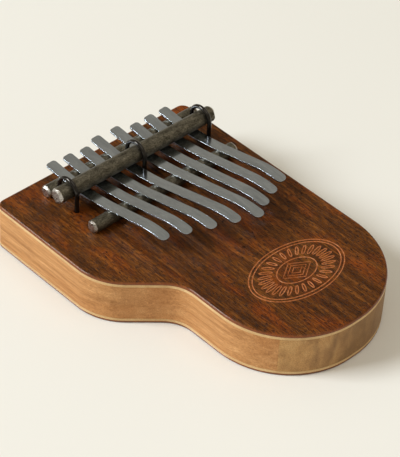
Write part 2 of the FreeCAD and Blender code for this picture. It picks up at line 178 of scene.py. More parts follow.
# an outline walked corner by corner: straight runs are extruded, each corner is spun about its own centre
def walkOutline(name, corners, height, arcStep):
    count = len(corners)
    points = [Vector((x, y, height)) for x, y, radius in corners]
    here = (points[-1] + points[0]) / 2
    dropSelection()
    bpy.ops.mesh.primitive_plane_add(size=mm, location=here)
    piece = nameActive(name)
    choose(piece)
    bpy.ops.object.transform_apply(location=True, rotation=True, scale=True)
    openEdit(piece)
    bpy.ops.mesh.select_all(action="SELECT")
    bpy.ops.mesh.merge(type="CENTER")
    for index, (x, y, radius) in enumerate(corners):
        inward = (points[index] - points[index - 1]).normalized()
        outward = (points[(index + 1) % count] - points[index]).normalized()
        turn = math.atan2(inward.cross(outward).z, inward.dot(outward))
        tangent = abs(radius * math.tan(turn / 2))
        arcStart = points[index] - inward * tangent
        side = Vector((-inward.y, inward.x, 0)) * math.copysign(radius, turn)
        centre = arcStart + side
        steps = max(6, round(abs(turn) * radius / arcStep))
        bpy.ops.mesh.extrude_vertices_move(TRANSFORM_OT_translate={"value": arcStart - here})
        bpy.ops.mesh.spin(steps=steps, angle=-turn, center=centre, axis=(0, 0, 1))
        here = points[index] + outward * tangent
        pickVerts(piece, lambda co: (co - here).length < closeBy)
    bpy.ops.mesh.extrude_vertices_move(
        TRANSFORM_OT_translate={"value": (points[-1] + points[0]) / 2 - here})
    bpy.ops.mesh.select_all(action="SELECT")
    bpy.ops.mesh.remove_doubles(threshold=closeBy)
    bpy.ops.mesh.edge_face_add()
    return piece


def thicken(thickness):
    bpy.ops.mesh.select_all(action="SELECT")
    bpy.ops.mesh.extrude_region_move(TRANSFORM_OT_translate={"value": (0, 0, thickness)})
    bpy.ops.mesh.select_all(action="SELECT")
    bpy.ops.mesh.normals_make_consistent(inside=False)


def roundRim(piece, height, offset, segments):
    pickEdges(piece, lambda a, b: abs(a.z - height) < closeBy and abs(b.z - height) < closeBy)
    bpy.ops.mesh.bevel(offset=offset, segments=segments, affect="EDGES", clamp_overlap=False)


def addCylinder(name, radius, start, end, sides=48):
    run = Vector(end) - Vector(start)
    dropSelection()
    bpy.ops.mesh.primitive_cylinder_add(
        vertices=sides, radius=radius, depth=run.length, location=(Vector(start) + Vector(end)) / 2,
        rotation=run.to_track_quat("Z", "Y").to_euler())
    piece = nameActive(name)
    bpy.ops.object.transform_apply(location=True, rotation=True, scale=True)
    return piece


def newMaterial(name):
    material = bpy.data.materials.new(name)
    material.use_nodes = True
    nodes = material.node_tree.nodes
    nodes.clear()
    output = nodes.new("ShaderNodeOutputMaterial")
    shader = nodes.new("ShaderNodeBsdfPrincipled")
    material.node_tree.links.new(shader.outputs["BSDF"], output.inputs["Surface"])
    return material, shader


def addNode(material, kind, settings=None, inputs=None):
    node = material.node_tree.nodes.new(kind)
    for key, value in (settings or {}).items():
        setattr(node, key, value)
    for key, value in (inputs or {}).items():
        node.inputs[key].default_value = value
    return node


def wire(material, outSocket, inSocket):
    material.node_tree.links.new(outSocket, inSocket)


def srgb(red, green, blue):
    values = []
    for part in (red, green, blue):
        share = part / 255
        values.append(share / 12.92 if share <= 0.04045 else ((share + 0.055) / 1.055) ** 2.4)
    return (*values, 1.0)


# noise whose cells are the given lengths along x, y and z
def stretchedNoise(material, lengths, detail=3, roughness=0.55, distortion=0.0, shift=(0, 0, 0)):
    place = addNode(material, "ShaderNodeTexCoord")
    scale = addNode(material, "ShaderNodeMapping", inputs={
        "Location": shift, "Scale": tuple(1 / length for length in lengths)})
    noise = addNode(material, "ShaderNodeTexNoise", inputs={
        "Scale": 1.0, "Detail": detail, "Roughness": roughness, "Distortion": distortion})
    wire(material, place.outputs["Object"], scale.inputs["Vector"])
    wire(material, scale.outputs["Vector"], noise.inputs["Vector"])
    return noise.outputs["Fac"]


def addRamp(material, factor, stops, smooth=False):
    ramp = addNode(material, "ShaderNodeValToRGB")
    colours = ramp.color_ramp
    colours.interpolation = "EASE" if smooth else "LINEAR"
    colours.elements[0].position, colours.elements[0].color = stops[0]
    colours.elements[1].position, colours.elements[1].color = stops[-1]
    for position, colour in stops[1:-1]:
        colours.elements.new(position).color = colour
    wire(material, factor, ramp.inputs["Fac"])
    return ramp.outputs["Color"]


# the mix node lists its sockets for every data type: 6, 7 and 2 are the colour ones
def mixColours(material, factor, first, second, blend="MIX"):
    mix = addNode(material, "ShaderNodeMix", {"data_type": "RGBA", "blend_type": blend})
    for source, socket in ((factor, 0), (first, 6), (second, 7)):
        if hasattr(source, "is_linked"):
            wire(material, source, mix.inputs[socket])
        else:
            mix.inputs[socket].default_value = source
    return mix.outputs[2]


def rangeOf(material, value, low, high, toLow, toHigh):
    node = addNode(material, "ShaderNodeMapRange", inputs={
        "From Min": low, "From Max": high, "To Min": toLow, "To Max": toHigh})
    wire(material, value, node.inputs["Value"])
    return node.outputs["Result"]


def addBump(material, shader, height, depth, strength=1.0, before=None):
    bump = addNode(material, "ShaderNodeBump", inputs={"Strength": strength, "Distance": depth})
    wire(material, height, bump.inputs["Height"])
    if before is not None:
        wire(material, before, bump.inputs["Normal"])
    wire(material, bump.outputs["Normal"], shader.inputs["Normal"])
    return bump.outputs["Normal"]


# solid wood: grain runs along y all through the board, so side faces show long grain and ends show end grain
def makeWood(name, look):
    material, shader = newMaterial(name)
    shader.inputs["Specular IOR Level"].default_value = look["specular"]
    shader.inputs["Coat Weight"].default_value = look["coat"]
    shader.inputs["Coat Roughness"].default_value = look["coatRoughness"]
    streak = stretchedNoise(material, look["streak"], 4, 0.6, 0.6, look["shift"])
    figure = addRamp(material, streak, [
        (0.28, srgb(*look["dark"])), (0.5, srgb(*look["middle"])), (0.74, srgb(*look["light"]))])
    cloud = stretchedNoise(material, look["cloud"], 2, 0.5, 0.3, look["shift"])
    warmShare = rangeOf(material, cloud, look["cloudFrom"], look["cloudTo"], 0.0, look["cloudShare"])
    figure = mixColours(material, warmShare, figure, srgb(*look["warm"]))
    fibre = stretchedNoise(material, look["fibre"], 3, 0.7, 0.2)
    fibreShade = addRamp(material, fibre, [
        (0.3, srgb(*look["fibreDark"])), (0.7, srgb(*look["fibreLight"]))])
    figure = mixColours(material, 1.0, figure, fibreShade, "MULTIPLY")
    pore = stretchedNoise(material, look["pore"], 1, 0.5)
    poreShare = rangeOf(material, pore, look["poreFrom"], look["poreTo"], 0.0, look["poreShare"])
    figure = mixColours(material, poreShare, figure, srgb(*look["poreColour"]))
    place = addNode(material, "ShaderNodeTexCoord")
    split = addNode(material, "ShaderNodeSeparateXYZ")
    wire(material, place.outputs["Object"], split.inputs["Vector"])
    # the rounded top rim is mixed towards a lighter orange-brown: partly real wear of the finish, partly a
    # painted highlight where the rim catches the light; the coat is also glossier there
    if "edge" in look:
        low, high = look["edgeHeights"]
        wornAndHighlitRim = rangeOf(material, split.outputs["Z"], high, low, 0.0, look["edgeShare"])
        figure = mixColours(material, wornAndHighlitRim, figure, srgb(*look["edge"]))
        gloss = rangeOf(material, split.outputs["Z"], high, low, look["coat"], look["edgeCoat"])
        wire(material, gloss, shader.inputs["Coat Weight"])
    if "shade" in look:
        ripple = addNode(material, "ShaderNodeMath", {"operation": "MULTIPLY_ADD"},
                         {1: look["shadeRipple"]})
        wire(material, cloud, ripple.inputs[0])
        wire(material, split.outputs["X"], ripple.inputs[2])
        start, end = look["shadeFrom"], look["shadeTo"]
        darker = rangeOf(material, ripple.outputs[0], start, end, 0.0, look["shadeShare"])
        figure = mixColours(material, darker, figure, srgb(*look["shade"]))
    wire(material, figure, shader.inputs["Base Color"])
    rough = rangeOf(material, fibre, 0.2, 0.8, *look["roughness"])
    wire(material, rough, shader.inputs["Roughness"])
    normal = addBump(material, shader, fibre, look["fibreDepth"])
    addBump(material, shader, poreShare, -look["poreDepth"], before=normal)
    return material


# steel whose tone, roughness and fine scratches vary along one direction
def makeSteel(name, look):
    material, shader = newMaterial(name)
    shader.inputs["Metallic"].default_value = look["metallic"]
    shader.inputs["Coat Weight"].default_value = look.get("coat", 0.0)
    patch = stretchedNoise(material, look["patch"], 3, 0.6, 0.4)
    tone = addRamp(material, patch, [
        (0.3, srgb(*look["dark"])), (0.7, srgb(*look["light"]))])
    scratch = stretchedNoise(material, look["scratch"], 4, 0.7)
    scratchShade = addRamp(material, scratch, [
        (0.35, srgb(*look["scratchDark"])), (0.65, srgb(255, 255, 255))])
    tone = mixColours(material, 1.0, tone, scratchShade, "MULTIPLY")
    wire(material, tone, shader.inputs["Base Color"])
    rough = rangeOf(material, patch, 0.3, 0.7, *look["roughness"])
    wire(material, rough, shader.inputs["Roughness"])
    normal = addBump(material, shader, scratch, look["scratchDepth"])
    if "dent" in look:
        dent = stretchedNoise(material, look["dent"], 2, 0.6)
        addBump(material, shader, dent, look["dentDepth"], before=normal)
    return material


darkWalnut = makeWood("oiledDarkWalnut", {
    "dark": (62, 32, 9), "middle": (113, 65, 21), "light": (166, 103, 43), "warm": (180, 84, 20),
    "streak": (2.2 * mm, 36 * mm, 5 * mm), "shift": (3.1, 0.4, 0.7),
    "cloud": (12 * mm, 26 * mm, 20 * mm), "cloudFrom": 0.48, "cloudTo": 0.76, "cloudShare": 0.6,
    "fibre": (0.36 * mm, 4.5 * mm, 0.36 * mm), "fibreDark": (96, 84, 74), "fibreLight": (255, 255, 255),
    "pore": (0.32 * mm, 2.4 * mm, 0.32 * mm), "poreFrom": 0.55, "poreTo": 0.65, "poreShare": 0.92,
    "poreColour": (26, 12, 4), "roughness": (0.3, 0.46), "fibreDepth": 0.04 * mm, "poreDepth": 0.08 * mm,
    "specular": 0.12, "coat": 0.03, "coatRoughness": 0.2,
    # edge: a lighter orange-brown rim band, partly worn finish and partly painted highlight
    "edge": (160, 88, 44), "edgeHeights": (24.4 * mm, 24.94 * mm), "edgeShare": 0.4, "edgeCoat": 0.6})

leftWood = makeWood("leftCoreWood", {
    "dark": (174, 122, 70), "middle": (205, 151, 95), "light": (224, 173, 116), "warm": (196, 135, 76),
    "streak": (4 * mm, 90 * mm, 3 * mm), "shift": (0.2, 1.4, 2.3),
    "cloud": (16 * mm, 60 * mm, 9 * mm), "cloudFrom": 0.45, "cloudTo": 0.75, "cloudShare": 0.6,
    "fibre": (0.45 * mm, 9 * mm, 0.45 * mm), "fibreDark": (205, 196, 186), "fibreLight": (255, 255, 255),
    "pore": (0.35 * mm, 3.5 * mm, 0.35 * mm), "poreFrom": 0.6, "poreTo": 0.72, "poreShare": 0.35,
    "poreColour": (120, 74, 40), "roughness": (0.5, 0.62), "fibreDepth": 0.02 * mm, "poreDepth": 0.04 * mm,
    "specular": 0.3, "coat": 0.0, "coatRoughness": 0.3})

rightWood = makeWood("rightCoreWood", {
    "dark": (176, 132, 78), "middle": (204, 158, 98), "light": (216, 174, 114), "warm": (146, 106, 60),
    "streak": (5 * mm, 80 * mm, 9 * mm), "shift": (1.7, 0.3, 0.4),
    "cloud": (6 * mm, 50 * mm, 16 * mm), "cloudFrom": 0.5, "cloudTo": 0.72, "cloudShare": 0.5,
    "shade": (104, 72, 38), "shadeFrom": 8 * mm, "shadeTo": 28 * mm, "shadeShare": 0.62,
    "shadeRipple": 34 * mm,
    "fibre": (0.45 * mm, 9 * mm, 0.45 * mm), "fibreDark": (205, 196, 186), "fibreLight": (255, 255, 255),
    "pore": (0.35 * mm, 3.5 * mm, 0.35 * mm), "poreFrom": 0.6, "poreTo": 0.72, "poreShare": 0.35,
    "poreColour": (92, 60, 34), "roughness": (0.45, 0.6), "fibreDepth": 0.02 * mm, "poreDepth": 0.04 * mm,
    "specular": 0.35, "coat": 0.0, "coatRoughness": 0.3})

palePly = makeWood("paleBirchPly", {
    "dark": (205, 168, 116), "middle": (222, 188, 136), "light": (232, 202, 152), "warm": (214, 176, 122),
    "streak": (6 * mm, 60 * mm, 6 * mm), "shift": (0.9, 2.1, 0.1),
    "cloud": (20 * mm, 50 * mm, 20 * mm), "cloudFrom": 0.5, "cloudTo": 0.8, "cloudShare": 0.4,
    "fibre": (0.4 * mm, 6 * mm, 0.4 * mm), "fibreDark": (222, 214, 204), "fibreLight": (255, 255, 255),
    "pore": (0.3 * mm, 3 * mm, 0.3 * mm), "poreFrom": 0.64, "poreTo": 0.75, "poreShare": 0.25,
    "poreColour": (150, 110, 66), "roughness": (0.5, 0.62), "fibreDepth": 0.02 * mm,
    "poreDepth": 0.03 * mm, "specular": 0.3, "coat": 0.0, "coatRoughness": 0.3})

scribedWood = makeWood("scribedGroove", {
    "dark": (156, 90, 46), "middle": (194, 122, 72), "light": (226, 168, 126), "warm": (206, 130, 74),
    "streak": (1.2 * mm, 2.5 * mm, 2 * mm), "shift": (0.1, 0.2, 0.3),
    "cloud": (5 * mm, 6 * mm, 5 * mm), "cloudFrom": 0.45, "cloudTo": 0.7, "cloudShare": 0.6,
    "fibre": (0.4 * mm, 2 * mm, 0.4 * mm), "fibreDark": (190, 176, 160), "fibreLight": (255, 255, 255),
    "pore": (0.3 * mm, 2 * mm, 0.3 * mm), "poreFrom": 0.6, "poreTo": 0.72, "poreShare": 0.4,
    "poreColour": (96, 48, 22), "roughness": (0.6, 0.75), "fibreDepth": 0.03 * mm,
    "poreDepth": 0.03 * mm, "specular": 0.25, "coat": 0.0, "coatRoughness": 0.3})

springSteel = makeSteel("polishedSpringSteel", {
    "dark": (168, 178, 190), "light": (190, 201, 214), "metallic": 1.0, "patch": (5 * mm, 22 * mm, 5 * mm),
    "scratch": (0.22 * mm, 14 * mm, 0.3 * mm), "scratchDark": (232, 234, 236),
    "roughness": (0.09, 0.14), "scratchDepth": 0.001 * mm})

darkSteel = makeSteel("brownedRodSteel", {
    "dark": (84, 80, 68), "light": (142, 136, 120), "metallic": 0.75, "patch": (4 * mm, 2 * mm, 2 * mm),
    "scratch": (0.8 * mm, 0.4 * mm, 0.4 * mm), "scratchDark": (116, 112, 104),
    "roughness": (0.38, 0.55), "scratchDepth": 0.05 * mm,
    "dent": (2.4 * mm, 1.6 * mm, 1.6 * mm), "dentDepth": 0.07 * mm})

cutSteel = makeSteel("sawnRodEnd", {
    "dark": (178, 175, 170), "light": (250, 248, 245), "metallic": 1.0,
    "patch": (1.1 * mm, 1.2 * mm, 1.0 * mm),
    "scratch": (0.5 * mm, 0.3 * mm, 2.4 * mm), "scratchDark": (190, 186, 180),
    "roughness": (0.2, 0.42), "scratchDepth": 0.05 * mm,
    "dent": (0.8 * mm, 0.9 * mm, 0.8 * mm), "dentDepth": 0.25 * mm})

blackWire = makeSteel("blackenedWire", {
    "dark": (40, 38, 36), "light": (64, 61, 57), "metallic": 0.85, "patch": (4 * mm, 4 * mm, 7 * mm),
    "scratch": (0.5 * mm, 0.5 * mm, 6 * mm), "scratchDark": (205, 202, 198),
    "roughness": (0.12, 0.2), "scratchDepth": 0.008 * mm, "coat": 0.2})

zincSteel = makeSteel("dullZincPlate", {
    "dark": (150, 150, 146), "light": (198, 198, 190), "metallic": 1.0,
    "patch": (2.4 * mm, 2.4 * mm, 2.4 * mm),
    "scratch": (0.3 * mm, 1.6 * mm, 0.4 * mm), "scratchDark": (205, 203, 198),
    "roughness": (0.28, 0.45), "scratchDepth": 0.015 * mm})
print("materials ready")


board = {
    "left": -60.5 * mm, "right": 60.5 * mm, "top": 82.5 * mm, "bottom": -82.5 * mm,
    "waist": -31.5 * mm, "cutTop": 10.3 * mm, "cutBottom": -14.91 * mm,
    "topRadius": 4.5 * mm, "rightRadius": 46 * mm, "leftRadius": 42 * mm,
    "hollowRadius": 18 * mm, "shoulderRadius": 29 * mm,
    "arcStep": 1.5 * mm, "seam": -21.5 * mm, "seamEdge": 0.12 * mm,
    "layerEdge": 0.1 * mm, "faceRound": 1.2 * mm, "backRound": 0.6 * mm}

boardCorners = [
    (board["left"], board["top"], board["topRadius"]),
    (board["left"], board["cutTop"], board["shoulderRadius"]),
    (board["waist"], board["cutBottom"], board["hollowRadius"]),
    (board["waist"], board["bottom"], board["leftRadius"]),
    (board["right"], board["bottom"], board["rightRadius"]),
    (board["right"], board["top"], board["topRadius"])]


def makeLayer(name, node, topRound, bottomRound, segments):
    low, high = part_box(node)
    piece = walkOutline(name, boardCorners, low.z, board["arcStep"])
    thicken(high.z - low.z)
    roundRim(piece, high.z, topRound, segments if topRound > board["layerEdge"] else 1)
    roundRim(piece, low.z, bottomRound, segments if bottomRound > board["layerEdge"] else 1)
    closeEdit()
    return piece


legs = {"holeRadius": 1.4 * mm, "wireRadius": 1.25 * mm, "boreRadius": 3.7 * mm, "boreDepth": 7.5 * mm}
boltNames = ("left", "middle", "right")


def legPlaces():
    places = []
    for name in boltNames:
        low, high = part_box("u_bolt_" + name)
        middle = (low.x + high.x) / 2
        places.append((middle, low.y + legs["wireRadius"]))
        places.append((middle, high.y - legs["wireRadius"]))
    return places


def holeCutters(low, high, radius):
    return [addCylinder("holeCutter", radius, (x, y, low), (x, y, high)) for x, y in legPlaces()]


def rodCutters():
    cutters = []
    for node in ("front_bridge", "back_bridge"):
        low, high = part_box(node)
        axisY = (low.y + high.y) / 2
        axisZ = (low.z + high.z) / 2
        cutters.append(addCylinder("seatCutter", (high.z - low.z) / 2, (low.x, axisY, axisZ),
                                   (high.x, axisY, axisZ), 64))
    return cutters


ornament = {
    "centre": (14.4 * mm, -42.5 * mm), "halfWidth": 26.5 * mm, "halfHeight": 16.5 * mm,
    "bandGap": 1.7 * mm, "bandSides": 96, "innerRing": 0.42, "ringSides": 72,
    "diamonds": (0.34, 0.23, 0.12), "petals": 28, "petalOuter": 0.81, "petalInner": 0.52,
    "petalWidth": 1.25 * mm, "petalLeast": 0.75, "petalGrowth": 0.25, "petalSwell": 1.2,
    "petalSides": 12, "tubeRadius": 0.38 * mm, "tubeLift": 0.14 * mm}


# one closed loop of thin line; ornamentCutter sweeps them all as fine tubes and cuts them into the face
def addLoop(sides, halfLength, halfWidth, place, turn):
    dropSelection()
    bpy.ops.mesh.primitive_circle_add(vertices=sides, radius=1, location=place, rotation=(0, 0, turn))
    loop = nameActive("ornamentLoop")
    loop.scale = (halfLength, halfWidth, 1)
    bpy.ops.object.transform_apply(location=True, rotation=True, scale=True)
    return loop


def ornamentCutter(height):
    x, y = ornament["centre"]
    wide, tall = ornament["halfWidth"], ornament["halfHeight"]
    centre = (x, y, height + ornament["tubeLift"])
    loops = [
        addLoop(ornament["bandSides"], wide, tall, centre, 0),
        addLoop(ornament["bandSides"], wide - ornament["bandGap"], tall - ornament["bandGap"], centre, 0),
        addLoop(ornament["ringSides"], wide * ornament["innerRing"], tall * ornament["innerRing"], centre, 0)]
    loops += [addLoop(4, wide * share, tall * share, centre, 0) for share in ornament["diamonds"]]
    for index in range(ornament["petals"]):
        angle = 2 * math.pi * (index + 0.5) / ornament["petals"]
        inner = Vector((wide * math.cos(angle), tall * math.sin(angle), 0)) * ornament["petalInner"]
        outer = Vector((wide * math.cos(angle), tall * math.sin(angle), 0)) * ornament["petalOuter"]
        run = outer - inner
        growth = ornament["petalGrowth"] * (run.length / (wide - tall))
        width = ornament["petalWidth"] * (ornament["petalLeast"] + growth)
        loops.append(addLoop(ornament["petalSides"], run.length / 2, width / 2 * ornament["petalSwell"],
                             Vector(centre) + (inner + outer) / 2, math.atan2(run.y, run.x)))
    line = joinPieces(loops, "ornamentCutter")
    bpy.ops.object.convert(target="CURVE")
    line = bpy.context.object
    line.data.bevel_depth = ornament["tubeRadius"]
    line.data.bevel_resolution = 1
    bpy.ops.object.convert(target="MESH")
    line = bpy.context.object
    paint(line, scribedWood)
    return line


def makeWalnutTop():
    low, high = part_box("soundboard_face")
    piece = makeLayer("walnutTop", "soundboard_face", board["faceRound"], board["layerEdge"], 4)
    paint(piece, darkWalnut)
    holes = joinPieces(holeCutters(low.z - mm, high.z + mm, legs["holeRadius"]), "legHoles")
    for cutter in [holes] + rodCutters():
        paint(cutter, darkWalnut)
        carve(piece, cutter)
    carve(piece, ornamentCutter(high.z), overlapping=True)
    smoothPiece(piece)
    placePiece(piece, "dark_walnut_face", "soundboard_face")


def makeLayers():
    for name, node, material, slotName in (
            ("topPly", "soundboard_ply", palePly, "pale_ply"),
            ("backPly", "back_ply", palePly, "pale_ply"),
            ("walnutBack", "back_face", darkWalnut, "dark_walnut_face")):
        low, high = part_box(node)
        bottomRound = board["backRound"] if node == "back_face" else board["layerEdge"]
        piece = makeLayer(name, node, board["layerEdge"], bottomRound, 3)
        paint(piece, material)
        radius = legs["holeRadius"] if node == "soundboard_ply" else legs["boreRadius"]
        cutters = holeCutters(low.z - mm, high.z + mm, radius)
        for cutter in cutters:
            paint(cutter, material)
        carve(piece, joinPieces(cutters, "layerCutters"))
        smoothPiece(piece)
        placePiece(piece, slotName, node)


def makeCore():
    for name, node, material, slotName, side in (
            ("leftCore", "core_left", leftWood, "core_wood_left", 1),
            ("rightCore", "core_right", rightWood, "core_wood_right", -1)):
        low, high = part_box(node)
        piece = makeLayer(name, node, board["layerEdge"], board["layerEdge"], 1)
        openEdit(piece)
        bpy.ops.mesh.select_all(action="SELECT")
        bpy.ops.mesh.bisect(plane_co=(board["seam"], 0, 0), plane_no=(side, 0, 0),
                            use_fill=True, clear_outer=True)
        pickEdges(piece, lambda a, b: max(abs(a.x - board["seam"]), abs(b.x - board["seam"])) < closeBy
                  and abs(a.z - b.z) > mm)
        bpy.ops.mesh.bevel(offset=board["seamEdge"], segments=1, affect="EDGES")
        closeEdit()
        paint(piece, material)
        cutters = holeCutters(low.z - mm, high.z + mm, legs["holeRadius"])
        cutters += holeCutters(low.z - mm, legs["boreDepth"], legs["boreRadius"])
        for cutter in cutters:
            paint(cutter, material)
            if (cutter.data.vertices[0].co.x - board["seam"]) * side < 0:
                carve(piece, cutter)
            else:
                bpy.data.objects.remove(cutter)
        smoothPiece(piece)
        placePiece(piece, slotName, node)


makeWalnutTop()
print("walnut top ready")
makeLayers()
makeCore()
print("board layers ready")


rods = {
    "pressure_bar": {"name": "pressureBar", "chamfer": 1.1 * mm, "sides": 64},
    "back_bridge": {"name": "backBridge", "chamfer": 1.0 * mm, "sides": 56},
    "front_bridge": {"name": "frontBridge", "chamfer": 1.0 * mm, "sides": 56}}
rodFinish = {"edge": 0.08 * mm, "edgeAngle": 12, "cutFaceLean": 0.3, "smoothAngle": 18, "fileTurn": 77}

# flats left by the file: lean from the rod's axis and direction round it in degrees, and depth as a share
# of the radius
fileMarks = (
    {"lean": 24, "around": 35, "depth": 0.16}, {"lean": 36, "around": 160, "depth": 0.22},
    {"lean": 18, "around": 262, "depth": 0.10}, {"lean": 44, "around": 310, "depth": 0.24})


def fileEnd(tip, outward, radius, turn):
    for mark in fileMarks:
        around = math.radians(mark["around"] + turn)
        lean = math.radians(mark["lean"])
        normal = Vector((math.cos(lean) * outward, math.sin(lean) * math.cos(around),
                         math.sin(lean) * math.sin(around)))
        rimReach = Vector((0, math.cos(around), math.sin(around))) * radius
        point = tip + rimReach - normal * mark["depth"] * radius
        bpy.ops.mesh.select_all(action="SELECT")
        bpy.ops.mesh.bisect(plane_co=point, plane_no=normal, use_fill=True, clear_outer=True)


def makeRod(node, values, turn):
    low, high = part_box(node)
    radius = (high.z - low.z) / 2
    axisY = (low.y + high.y) / 2
    axisZ = (low.z + high.z) / 2
    piece = addCylinder(values["name"], radius, (low.x, axisY, axisZ), (high.x, axisY, axisZ),
                        values["sides"])
    openEdit(piece, "EDGE")
    pickEdges(piece, lambda a, b: abs(a.x - b.x) < closeBy)
    bpy.ops.mesh.bevel(offset=values["chamfer"], segments=2, affect="EDGES")
    for tipX, outward in ((low.x, -1), (high.x, 1)):
        fileEnd(Vector((tipX, axisY, axisZ)), outward, radius, turn * outward)
    closeEdit()
    fine = piece.modifiers.new("softEdges", "BEVEL")
    fine.width = rodFinish["edge"]
    fine.segments = 2
    fine.limit_method = "ANGLE"
    fine.angle_limit = math.radians(rodFinish["edgeAngle"])
    applyModifiers(piece)
    paint(piece, darkSteel, cutSteel)
    for face in piece.data.polygons:
        face.material_index = 1 if abs(face.normal.x) > rodFinish["cutFaceLean"] else 0
    smoothPiece(piece, rodFinish["smoothAngle"])
    placePiece(piece, "dark_steel_rod", node)


for turn, (node, values) in enumerate(rods.items()):
    makeRod(node, values, turn * rodFinish["fileTurn"])
print("rods ready")


uBolt = {"sides": 24, "bendSteps": 28, "threadPitch": 0.45 * mm, "threadTop": 8.2 * mm, "threadCut": 0.87,
         "pointShare": 0.75, "pointHeight": 0.3 * mm}


def extrudeBy(offset):
    bpy.ops.mesh.extrude_region_move(TRANSFORM_OT_translate={"value": offset})


def shrinkAbout(share, centre):
    bpy.ops.transform.resize(value=(share, share, 1), center_override=centre)


# a threaded stretch of wire, ring by ring, from the height it stands at to the height it has to reach
def extrudeThread(x, y, start, end, share):
    rings = round(abs(end - start) / (uBolt["threadPitch"] / 2))
    step = (end - start) / rings
    height = start
    for ring in range(rings):
        extrudeBy((0, 0, step))
        height += step
        shrinkAbout(share if ring % 2 == 0 else 1 / share, (x, y, height))


def makeUBolt(side):
    low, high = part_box("u_bolt_" + side)
    wireRadius = legs["wireRadius"]
    x = (low.x + high.x) / 2
    nearY = low.y + wireRadius
    farY = high.y - wireRadius
    bendRadius = (farY - nearY) / 2
    bendZ = high.z - wireRadius - bendRadius
    bendY = (nearY + farY) / 2
    threadStart = low.z + uBolt["pointHeight"]
    dropSelection()
    bpy.ops.mesh.primitive_circle_add(vertices=uBolt["sides"], radius=wireRadius,
                                      location=(x, nearY, low.z), fill_type="NGON")
    piece = nameActive("uBolt" + side.capitalize())
    bpy.ops.object.transform_apply(location=True, rotation=True, scale=True)
    openEdit(piece, "FACE")
    bpy.ops.mesh.select_all(action="SELECT")
    shrinkAbout(uBolt["pointShare"], (x, nearY, low.z))
    extrudeBy((0, 0, uBolt["pointHeight"]))
    shrinkAbout(1 / uBolt["pointShare"], (x, nearY, threadStart))
    extrudeThread(x, nearY, threadStart, uBolt["threadTop"], uBolt["threadCut"])
    extrudeBy((0, 0, bendZ - uBolt["threadTop"]))
    bpy.ops.mesh.spin(steps=uBolt["bendSteps"], angle=math.pi, center=(x, bendY, bendZ), axis=(1, 0, 0))
    pickFaces(piece, lambda co, normal: abs(co.z - bendZ) < closeBy and co.y > bendY
              and abs(normal.z) > 0.9)
    extrudeBy((0, 0, uBolt["threadTop"] - bendZ))
    extrudeThread(x, farY, uBolt["threadTop"], threadStart, uBolt["threadCut"])
    extrudeBy((0, 0, -uBolt["pointHeight"]))
    shrinkAbout(uBolt["pointShare"], (x, farY, low.z))
    closeEdit()
    outwardNormals(piece)
    paint(piece, blackWire)
    smoothPiece(piece, 38, weighted=False)
    placePiece(piece, "black_wire", "u_bolt_" + side)


for side in boltNames:
    makeUBolt(side)
print("u-bolts ready")


washer = {"outer": 3.3 * mm, "inner": 1.4 * mm, "edge": 0.12 * mm, "bottom": 6.9 * mm, "top": 7.5 * mm}
nut = {"across": 5.0 * mm, "inner": 1.3 * mm, "bottom": 4.9 * mm, "top": 6.9 * mm, "chamfer": 0.35 * mm}
fastenerTurn = {"first": 23, "step": 47}


def makeWasher():
    low, high = washer["bottom"], washer["top"]
    piece = addCylinder("washer", washer["outer"], (0, 0, low), (0, 0, high), 48)
    carve(piece, addCylinder("washerHole", washer["inner"], (0, 0, low - mm), (0, 0, high + mm), 32))
    edge = piece.modifiers.new("softEdges", "BEVEL")
    edge.width = washer["edge"]
    edge.segments = 2
    applyModifiers(piece)
    return piece


def makeNut():
    low, high = nut["bottom"], nut["top"]
    reach = nut["across"] / math.sqrt(3)
    piece = addCylinder("nut", reach, (0, 0, low), (0, 0, high), 6)
    turned = addCylinder("nutTurning", reach, (0, 0, low), (0, 0, high), 48)
    openEdit(turned, "EDGE")
    pickEdges(turned, lambda a, b: abs(a.z - b.z) < closeBy)
    bpy.ops.mesh.bevel(offset=nut["chamfer"], segments=1, affect="EDGES")
    closeEdit()
    carve(piece, turned, "INTERSECT")
    carve(piece, addCylinder("nutHole", nut["inner"], (0, 0, low - mm), (0, 0, high + mm), 32))
    return piece


def copyToLegs(first, name, slotName, node):
    for index, (x, y) in enumerate(legPlaces()):
        piece = first.copy()
        piece.data = first.data.copy()
        bpy.context.scene.collection.objects.link(piece)
        piece.name = name + str(index + 1)
        turn = Matrix.Rotation(math.radians(fastenerTurn["first"] + fastenerTurn["step"] * index), 4, "Z")
        piece.data.transform(Matrix.Translation((x, y, 0)) @ turn)
        paint(piece, zincSteel)
        smoothPiece(piece, 30, weighted=False)
        placePiece(piece, slotName, node)
    bpy.data.objects.remove(first)


copyToLegs(makeWasher(), "washer", "zinc_fastener", "u_bolt_washers")
copyToLegs(makeNut(), "nut", "zinc_fastener", "u_bolt_nuts")
print("fasteners ready")


tine = {
    "width": 5.9 * mm, "thickness": 0.9 * mm, "tipCorner": 2.6 * mm, "rearCorner": 1.6 * mm,
    "edge": 0.1 * mm, "lifts": (0, 0.7, 1.3, 2.2, 0, -0.9, -0.7, 0),
    "slope": 9.0, "skew": 3.5, "bendRadius": 101.86 * mm, "bendY": 54.35 * mm, "bendZ": 29.5 * mm,
    "bendSteps": 10, "tipRadius": 40.1 * mm, "tipTurn": 22.0, "tipSteps": 12, "arcStep": 0.45 * mm,
    "blendShare": 0.6, "pastLine": 0.001 * mm}


# turns all that lies past a crosswise line, as one small step of a bend
def bendStep(piece, station, angle, beyond, height):
    pickVerts(piece, lambda co: (co.y - station) * beyond > 0)
    bpy.ops.transform.rotate(value=-angle, orient_axis="X", center_override=(0, station, height))


